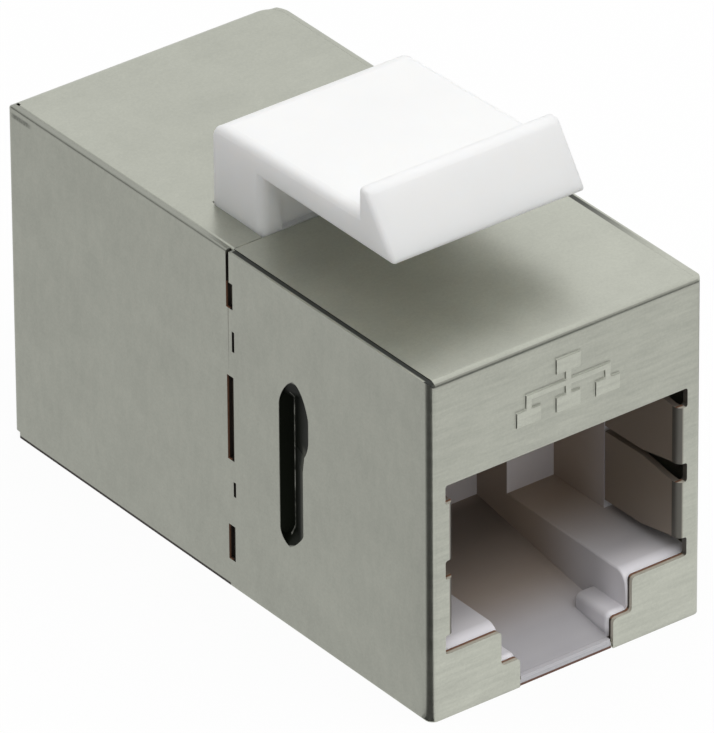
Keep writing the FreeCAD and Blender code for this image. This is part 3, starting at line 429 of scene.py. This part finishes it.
def housing_finish(name):
    """White moulded plastic of the socket, painted warmer and darker as shade further into the shell."""
    finish = Finish(name, IOR=1.49, Specular_IOR_Level=0.4)
    at = finish.place()
    x, y, z = finish.parts(at)
    inward = BODY_HALF[1] - abs(y)
    _, endwise, upward = finish.turned(finish.facing())
    channel = abs(x).fall(SHELF_SIDE, SHELF_SIDE + 0.1) * z.fall(*CHANNEL_TOP) * upward.rise(0.5, 0.8)
    # Painted shade turns the white to a brownish colour further into the shell
    deep_shade = inward.rise(2.2, 7.5).most(channel * inward.rise(1.8, 5.5)) * (1.0 - endwise * 0.85)
    cloud = finish.noise(at, 0.5, 2.0)
    fine = finish.noise(at, 12.0, 2.0, 0.6)
    white = finish.mix(cloud, colour(0.80, 0.785, 0.83), colour(0.85, 0.84, 0.87))
    warm_shade = finish.mix(cloud, colour(0.47, 0.38, 0.31), colour(0.56, 0.47, 0.39))

    # Painted shade: the tone falls off inwards from the mouth, first behind the floor's lip and most in the
    # plug channel, and faces that look out of the ends are painted lighter
    at_floor = z.fall(*FLOOR_LEVEL)
    lip_loss = inward.rise(0.27, 0.33, 0.23, 0.375)
    floor_loss = lip_loss + inward.rise(0.8, 1.6, 0.0, 0.05) + inward.rise(1.6, 7.0, 0.0, 0.2)
    channel_loss = inward.rise(4.0, 9.5, 0.0, 0.6)
    tone = inward.rise(0.8, 2.5, 1.0, 0.7) + endwise * (0.3 - at_floor * 0.04)
    tone = tone * (1.0 - at_floor * floor_loss) * (1.0 - channel * channel_loss)
    finish.give("Base Color", finish.mix(1.0, finish.mix(deep_shade, white, warm_shade), finish.grey(tone), "MULTIPLY"))
    finish.give("Roughness", 0.45 + fine * 0.1)
    finish.bump(fine, 0.05, 0.02 * MM)
    return finish.material


def carrier_finish(name):
    """Ivory moulded comb, slightly speckled."""
    finish = Finish(name, IOR=1.5, Specular_IOR_Level=0.4)
    at = finish.place()
    cloud = finish.noise(at, 0.8, 2.0)
    fine = finish.noise(at, 10.0, 2.0, 0.6)
    finish.give("Base Color", finish.mix(cloud, colour(0.60, 0.55, 0.46), colour(0.70, 0.65, 0.56)))
    finish.give("Roughness", 0.45 + fine * 0.12)
    finish.bump(fine, 0.05, 0.02 * MM)
    return finish.material


def board_finish(name):
    """Green laminate with straight traces from each front post to its rear post."""
    finish = Finish(name, IOR=1.5)
    at = finish.place()
    lane = (finish.parts(at)[0] + TRACE_HALF_PITCH).to_and_fro(TRACE_HALF_PITCH)
    trace = lane.fall(*TRACE_HALF_WIDTH)
    weave = finish.noise(at, 3.0, 2.0, 0.6, (1.0, 1.0, 0.2))
    mask = finish.mix(weave, colour(0.012, 0.10, 0.040), colour(0.020, 0.14, 0.060))
    finish.give("Base Color", finish.mix(trace * 0.7, mask, colour(0.05, 0.22, 0.09)))
    finish.give("Roughness", 0.35 + weave * 0.15)
    return finish.material


def contact_finish(name):
    """Gold plated spring wire, drawn lengthwise."""
    finish = Finish(name, Metallic=1.0)
    at = finish.place()
    drawn = finish.noise(at, 2.0, 2.0, 0.6, (4.0, 0.3, 4.0))
    finish.give("Base Color", finish.mix(drawn, colour(0.72, 0.47, 0.17), colour(0.86, 0.62, 0.28)))
    finish.give("Roughness", 0.22 + drawn * 0.12)
    return finish.material


# Edges to soften
def near(length, other):
    """Whether two lengths are the same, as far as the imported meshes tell."""
    return abs(length - other) < CLOSE


def ends(edge):
    """The two ends of an edge, in millimetres."""
    return [vert.co / MM for vert in edge.verts]


def by_groove(at):
    """Whether a point lies on the stretch of the side flaps that holds the groove."""
    return (GROOVE_ROOM_BACK[0] < at.y - FRONT < GROOVE_ROOM_BACK[1]
            and GROOVE_ROOM_UP[0] < at.z < GROOVE_ROOM_UP[1])


def groove_rim(edge):
    """Edges where the pressed groove leaves the flat of the side flaps."""
    return all(near(abs(at.x), BODY_HALF[0]) and by_groove(at) for at in ends(edge))


def sign_edge(edge):
    """Edges of the raised sign above the socket."""
    return all(at.y < FRONT + CLOSE and SIGN_UP[0] < at.z < SIGN_UP[1] and abs(at.x) < SIGN_HALF
               for at in ends(edge))


def top_flap_side(edge):
    """Upper left edges of the top flaps, beside the slits."""
    return all(near(at.x, -FLAP_SIDE) and near(at.z, SHELL_TOP) for at in ends(edge))


def shelf_edge(edge):
    """Inner edges of the shelves beside the plug channel, round their ends and down to the locking blocks."""
    return all(near(abs(at.x), SHELF_SIDE) and SHELF_ROUND_MOUTH < at.z < SHELF_TOP + CLOSE
               and (at.z > SHELF_ROUND_INSIDE or abs(at.y) > MOUTH) for at in ends(edge))


# Shapes of the shells
def shape_groove(work):
    """The punch left a pointed upper end, a rising lower end and a smooth shoulder."""
    for vert in work.verts:
        at = vert.co / MM
        if abs(at.x) < GROOVE_INSIDE or not by_groove(at):
            continue
        from_front, z = at.y - FRONT, at.z
        if from_front < SHOULDER_BACK and z < SHOULDER_UP:
            z = SHOULDER_FOOT + SHOULDER_LIFT + (z - SHOULDER_FOOT) * SHOULDER_STRETCH
        upper = min(max((z - POINT_FROM) / END_LENGTH, 0.0), 1.0)
        lower = min(max((RISE_FROM - z) / END_LENGTH, 0.0), 1.0)
        behind, before = max(from_front - GROOVE_MIDDLE, 0.0), max(GROOVE_MIDDLE - from_front, 0.0)
        z -= (POINT_SLOPE * behind + POINT_CURVE * before ** 2) * upper
        z += RISE_SLOPE * max(RISE_BEFORE - from_front, 0.0) * lower
        vert.co.z = z * MM


def close_seam(work):
    """The two shells meet along the side seam below its open upper end."""
    for vert in work.verts:
        at = vert.co / MM
        if abs(at.x) > FLAP_SIDE and near(abs(at.y - SEAM), SEAM_HALF) and at.z < SHELL_TOP - SEAM_OPEN:
            vert.co.y = SEAM * MM


def close_slits(work):
    """The top flaps lie against the side flaps on the right, and the rear one on the left too."""
    for vert in work.verts:
        at = vert.co / MM
        on_edge = near(abs(at.x), FLAP_SIDE) and at.z > UNDER_TOP_SHEET
        in_relief = (RELIEF_SIDE[0] < at.x < RELIEF_SIDE[1] and at.y > BODY_HALF[1] - RELIEF_LENGTH
                     and at.z > SHELL_TOP - RELIEF_DROP)
        if in_relief or on_edge and (at.x > 0.0 or at.y > SEAM):
            vert.co.x = math.copysign(SLIT_CLOSED, at.x) * MM


def close_floor(work):
    """The rear side flaps stand on the edges of the floor flap."""
    for vert in work.verts:
        at = vert.co / MM
        if abs(at.x) > FLAP_SIDE and near(at.z, FLAP_FOOT):
            vert.co.z = FLOOR_TOP * MM


def close_notch(work):
    """The notch of the rear top flap lies close round the latch foot."""
    for vert in work.verts:
        at = vert.co / MM
        if near(at.y, FOOT_REAR + FOOT_PLAY) and at.z > UNDER_TOP_SHEET:
            vert.co.x = (at.x - math.copysign(NOTCH_FIT, at.x)) * MM
            vert.co.y = (at.y - NOTCH_FIT) * MM


def cut_through(work, place, normal, faces=None):
    """Cuts the given faces, or all of them, along a plane through a place."""
    faces = work.faces[:] if faces is None else faces
    edges = dict.fromkeys(edge for face in faces for edge in face.edges)
    verts = dict.fromkeys(vert for face in faces for vert in face.verts)
    bmesh.ops.bisect_plane(work, geom=list(verts) + list(edges) + faces,
                           plane_co=Vector(place) * MM, plane_no=normal)


def corner_reach(angle):
    """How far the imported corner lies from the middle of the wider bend, along one direction."""
    across, along = math.cos(angle), math.sin(angle)
    flat = FAR_CORNER / max(across, along)
    start = FAR_CORNER - BEND
    if flat * min(across, along) <= start:
        return flat
    total = start * (across + along)
    return total + math.sqrt(total ** 2 - 2.0 * start ** 2 + BEND ** 2)


def bend_far_corner(work):
    """The rear right corner is bent wider than the other corners."""
    middle = Vector((BODY_HALF[0] - FAR_CORNER, BODY_HALF[1] - FAR_CORNER, 0.0))
    for normal in ((1.0, 0.0, 0.0), (0.0, 1.0, 0.0)):
        cut_through(work, middle, normal)

    def in_corner(vert):
        offset = vert.co / MM - middle
        return min(offset.x, offset.y) > -CLOSE

    for step in range(1, CORNER_STEPS):
        angle = step * math.pi / 2 / CORNER_STEPS
        faces = [face for face in work.faces if all(in_corner(vert) for vert in face.verts)]
        cut_through(work, middle, (-math.sin(angle), math.cos(angle), 0.0), faces)
    for vert in work.verts:
        offset = vert.co / MM - middle
        if min(offset.x, offset.y) > CLOSE / 10:
            scale = FAR_CORNER / corner_reach(math.atan2(offset.y, offset.x))
            vert.co.x = (middle.x + offset.x * scale) * MM
            vert.co.y = (middle.y + offset.y * scale) * MM


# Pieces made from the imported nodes
def put(piece):
    bpy.context.scene.collection.objects.link(piece)
    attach(piece, "root")
    return piece


def soften(work, chosen, width):
    edges = [edge for edge in work.edges if chosen(edge) and edge.calc_face_angle(0.0) > LEVEL]
    bmesh.ops.bevel(work, geom=edges, offset=width * MM, offset_type="OFFSET", affect="EDGES", segments=3,
                    profile=0.5, clamp_overlap=True, material=-1)


def smooth_mesh(work, name, finish):
    """The mesh of a piece, smooth over its bends and sharp at its folds."""
    mesh = bpy.data.meshes.new(name)
    work.to_mesh(mesh)
    work.free()
    if "custom_normal" in mesh.attributes:
        mesh.attributes.remove(mesh.attributes["custom_normal"])
    mesh.shade_smooth()
    mesh.set_sharp_from_angle(angle=FOLD)
    mesh.materials.append(finish)
    return mesh


def keep_flat(piece):
    normals = piece.modifiers.new("flat_faces_stay_flat", "WEIGHTED_NORMAL")
    normals.keep_sharp = True
    normals.weight = 100


def smooth_copy(node, name, finish, easing=0.0, shaped=(), softened=(), settled=()):
    """A welded copy of a node with smooth bends, shaped and with its sharp edges eased where asked."""
    work = bmesh.new()
    work.from_mesh(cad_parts[node].data)
    bmesh.ops.remove_doubles(work, verts=work.verts, dist=WELD * MM)
    bmesh.ops.dissolve_limit(work, angle_limit=LEVEL, verts=work.verts, edges=work.edges)
    for shape in shaped:
        shape(work)
    for chosen, width in softened:
        soften(work, chosen, width)
    for shape in settled:
        shape(work)
    piece = put(bpy.data.objects.new(name, smooth_mesh(work, name, finish)))
    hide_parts(node)
    if easing:
        eased = piece.modifiers.new("eased_edges", "BEVEL")
        eased.width = easing * MM
        eased.segments = 2
        eased.limit_method = "ANGLE"
        eased.angle_limit = FOLD
        eased.harden_normals = True
    keep_flat(piece)


# Latch clip
def clip_blank(work):
    """The clip's outline carried across its width, with the rounding of each edge written on it."""
    weight = work.edges.layers.float.new("bevel_weight_edge")
    sides = []
    for x in (CLIP_LEFT, CLIP_RIGHT):
        sides.append([work.verts.new(Vector((x, y, z)) * MM) for y, z, *rounds in CLIP_OUTLINE])
        work.faces.new(sides[-1])
    left, right = sides
    for index, (*place, across, along) in enumerate(CLIP_OUTLINE):
        after = (index + 1) % len(CLIP_OUTLINE)
        work.faces.new((left[index], left[after], right[after], right[index]))
        work.edges.get((left[index], right[index]))[weight] = across / WIDEST_ROUND
        for side in sides:
            work.edges.get((side[index], side[after]))[weight] = along / WIDEST_ROUND
    bmesh.ops.recalc_face_normals(work, faces=work.faces)


def clip_recess(work):
    """The shallow recess between the legs of the foot."""
    inside = (CLIP_LEFT + FOOT_LEG, CLIP_RIGHT - FOOT_LEG)
    for x, way in zip(inside, (1.0, -1.0)):
        cut_through(work, (x, 0.0, 0.0), (way, 0.0, 0.0))
    cut_through(work, (0.0, 0.0, SHELL_TOP), (0.0, 0.0, 1.0))
    middle = sum(inside) / 2
    for face in work.faces[:]:
        at = face.calc_center_median() / MM
        if abs(at.y - FOOT_FRONT) < 0.01 and abs(at.x - middle) < 0.1 and SHELL_TOP < at.z < UNDER_ARM:
            moved = bmesh.ops.extrude_face_region(work, geom=[face])
            verts = [item for item in moved["geom"] if isinstance(item, bmesh.types.BMVert)]
            bmesh.ops.translate(work, verts=verts, vec=(0.0, FOOT_RECESS * MM, 0.0))
            bmesh.ops.delete(work, geom=[face], context="FACES")


def clip_flange(work):
    """The flange that holds the foot under the shell."""
    places = [(x, y, z) for x in FLANGE[0] for y in FLANGE[1] for z in FLANGE[2]]
    corners = [work.verts.new(Vector(place) * MM) for place in places]
    made = bmesh.ops.convex_hull(work, input=corners)
    faces = [item for item in made["geom"] if isinstance(item, bmesh.types.BMFace)]
    bmesh.ops.recalc_face_normals(work, faces=faces)


def latch_moulding(finish):
    """The white spring latch with the soft edges of a moulding."""
    work = bmesh.new()
    clip_blank(work)
    clip_recess(work)
    clip_flange(work)
    mesh = smooth_mesh(work, "latch_clip_moulding", finish)
    piece = put(bpy.data.objects.new("latch_clip_moulding", mesh))
    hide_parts("latch_clip")
    rounds = piece.modifiers.new("moulded_edges", "BEVEL")
    rounds.limit_method = "WEIGHT"
    rounds.width = WIDEST_ROUND * MM
    rounds.segments = 5
    rounds.use_clamp_overlap = False
    rounds.harden_normals = False
    keep_flat(piece)


shell_metal = shell_finish("satin_nickel_sheet")
latch_plastic = latch_finish("white_latch_plastic")
housing_plastic = housing_finish("socket_plastic")
carrier_plastic = carrier_finish("ivory_comb_plastic")
board_laminate = board_finish("green_laminate")
contact_gold = contact_finish("gold_spring_wire")

smooth_copy("front_shell", "front_shell_sheet", shell_metal,
            shaped=[shape_groove, close_seam],
            softened=[(groove_rim, 0.12), (sign_edge, 0.095), (top_flap_side, 0.12)],
            settled=[close_slits])
smooth_copy("rear_shell", "rear_shell_sheet", shell_metal,
            shaped=[close_seam, close_floor, close_notch],
            softened=[(top_flap_side, 0.08)],
            settled=[close_slits, bend_far_corner])
latch_moulding(latch_plastic)
smooth_copy("front_housing", "front_housing_moulding", housing_plastic, easing=0.05,
            softened=[(shelf_edge, 0.35)])
smooth_copy("rear_housing", "rear_housing_moulding", housing_plastic, easing=0.05,
            softened=[(shelf_edge, 0.35)], settled=[bend_far_corner])

for name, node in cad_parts.items():
    if "carrier" in name:
        node.material_slots[0].material = carrier_plastic
    elif "contact" in name:
        node.material_slots[0].material = contact_gold
    elif "board" in name:
        node.material_slots[0].material = board_laminate


# Studio
BLACK, WHITE, PAPER = colour(0.0, 0.0, 0.0), colour(1.0, 1.0, 1.0), colour(0.50, 0.50, 0.50)
WORLD_LIGHT, WORLD_SEEN = 0.36, 1.0
FLOOR_HALF, FLOOR_GLOW, FLOOR_SEEN = 900.0, 1.05, 0.9


def lying(left, right, front, back, height=0.02):
    """Corners of a card that lies just above the floor."""
    return [(left, front, height), (left, back, height), (right, back, height), (right, front, height)]


def standing(left, right, y, bottom, top):
    """Corners of a card that stands across the coupler's length."""
    return [(left, y, bottom), (right, y, bottom), (right, y, top), (left, y, top)]


# Cards that the metal mirrors, with their brightness. Two fan out from the box's front left corner
CARDS = [
    ("grey_flag_left", lying(-7.2, -140.0, -15.0, 120.0), 0.66),
    ("dusk_flag_corner", [(-6.87, -14.545, 0.03), (-163.0, 100.0, 0.03), (-195.0, 50.0, 0.03)], 0.3),
    ("dark_flag_corner", [(-6.87, -14.545, 0.04), (-195.0, 50.0, 0.04), (-195.0, -196.0, 0.04),
                          (-91.0, -196.0, 0.04)], 0.03),
    ("dark_card_front", standing(0.0, 150.0, -110.0, 6.0, 75.0), 0.03),
    ("white_card_front", lying(-7.0, 60.0, -20.0, -15.0), 1.06),
    ("grey_flag_front", lying(-7.0, 160.0, -200.0, -24.0), 0.88),
    ("dark_flag_right", lying(7.6, 60.0, -12.0, 60.0), 0.25),
    ("dark_card_behind", standing(-170.0, -40.0, 100.0, 6.0, 110.0), 0.32),
]

# The camera fitted to the box edges in the photo: its two directions, aim, distance and lens
VIEW_BACK, VIEW_RIGHT = (-0.5170, -0.6831, 0.5158), (0.7951, -0.6065, -0.0062)
VIEW_AIM, VIEW_DISTANCE = (-3.017, -4.349, 10.981), 552.7
VIEW_LENS, VIEW_SENSOR = 641.1, 36.0


def sheet_card(name, corners, finish):
    """A flat card of the studio through the given corners, in millimetres."""
    work = bmesh.new()
    points = [work.verts.new(Vector(corner) * MM) for corner in corners]
    work.faces.new(points)
    mesh = bpy.data.meshes.new(name)
    work.to_mesh(mesh)
    work.free()
    mesh.materials.append(finish)
    card = bpy.data.objects.new(name, mesh)
    bpy.context.scene.collection.objects.link(card)
    return card


def flag(name, corners, strength):
    """A studio card that only reflections see."""
    finish = Finish(name + "_card", Base_Color=BLACK, Specular_IOR_Level=0.0,
                    Emission_Color=WHITE, Emission_Strength=strength)
    card = sheet_card(name, corners, finish.material)
    card.visible_camera = False
    card.visible_diffuse = False
    card.visible_shadow = False
    card.visible_transmission = False
    card.visible_volume_scatter = False


def seen(tree):
    """One for camera, glossy and transmitted rays, and nothing for diffuse light."""
    path = tree.nodes.new("ShaderNodeLightPath")
    total = path.outputs["Is Camera Ray"]
    for ray in ("Is Glossy Ray", "Is Transmission Ray"):
        either = tree.nodes.new("ShaderNodeMath")
        either.operation = "MAXIMUM"
        tree.links.new(total, either.inputs[0])
        tree.links.new(path.outputs[ray], either.inputs[1])
        total = either.outputs[0]
    return total


def studio_world():
    """White surroundings that light the coupler less than they are seen."""
    world = bpy.data.worlds.new("white_studio")
    bpy.context.scene.world = world
    world.use_nodes = True
    tree = world.node_tree
    background = tree.nodes["Background"]
    background.inputs["Color"].default_value = WHITE
    level = tree.nodes.new("ShaderNodeMapRange")
    level.inputs["To Min"].default_value = WORLD_LIGHT
    level.inputs["To Max"].default_value = WORLD_SEEN
    tree.links.new(seen(tree), level.inputs["Value"])
    tree.links.new(level.outputs[0], background.inputs["Strength"])


def studio_floor():
    """A sheet of paper that is seen white and throws back half the light."""
    material = bpy.data.materials.new("white_floor")
    material.use_nodes = True
    tree = material.node_tree
    tree.nodes.clear()
    paper = tree.nodes.new("ShaderNodeBsdfDiffuse")
    paper.inputs["Color"].default_value = PAPER
    glow = tree.nodes.new("ShaderNodeEmission")
    glow.inputs["Color"].default_value = WHITE
    glow.inputs["Strength"].default_value = FLOOR_GLOW
    share = tree.nodes.new("ShaderNodeMath")
    share.operation = "MULTIPLY"
    share.inputs[1].default_value = FLOOR_SEEN
    tree.links.new(seen(tree), share.inputs[0])
    blend = tree.nodes.new("ShaderNodeMixShader")
    tree.links.new(share.outputs[0], blend.inputs[0])
    tree.links.new(paper.outputs[0], blend.inputs[1])
    tree.links.new(glow.outputs[0], blend.inputs[2])
    output = tree.nodes.new("ShaderNodeOutputMaterial")
    tree.links.new(blend.outputs[0], output.inputs[0])
    corners = [(-1.0, -1.0, 0.0), (1.0, -1.0, 0.0), (1.0, 1.0, 0.0), (-1.0, 1.0, 0.0)]
    sheet_card("floor", [Vector(corner) * FLOOR_HALF for corner in corners], material)


def lamp(name, place, aim, size, power):
    """A softbox that lights the coupler and isn't itself mirrored in the metal."""
    light = bpy.data.lights.new(name, "AREA")
    light.shape = "SQUARE"
    light.size = size * MM
    light.energy = power
    holder = bpy.data.objects.new(name, light)
    place = Vector(place) * MM
    holder.location = place
    holder.rotation_euler = (Vector(aim) * MM - place).to_track_quat("-Z", "Y").to_euler()
    holder.visible_glossy = False
    bpy.context.scene.collection.objects.link(holder)


def camera():
    """The photo's view of the coupler."""
    back = Vector(VIEW_BACK).normalized()
    right = Vector(VIEW_RIGHT)
    right = (right - back * right.dot(back)).normalized()
    up = back.cross(right)
    place = Vector(VIEW_AIM) * MM + back * VIEW_DISTANCE * MM
    lens = bpy.data.cameras.new("photo_view")
    lens.lens = VIEW_LENS
    lens.sensor_width = VIEW_SENSOR
    lens.clip_start = 0.01
    holder = bpy.data.objects.new("photo_view", lens)
    holder.matrix_world = Matrix((
        (right.x, up.x, back.x, place.x),
        (right.y, up.y, back.y, place.y),
        (right.z, up.z, back.z, place.z),
        (0.0, 0.0, 0.0, 1.0)))
    bpy.context.scene.collection.objects.link(holder)
    bpy.context.scene.camera = holder


studio_world()
studio_floor()
lamp("softbox_above", place=(50.0, -95.0, 305.0), aim=(50.0, -95.0, 0.0), size=500.0, power=1.25)
for name, corners, strength in CARDS:
    flag(name, corners, strength)
camera()
bpy.context.scene.view_settings.view_transform = "Standard"
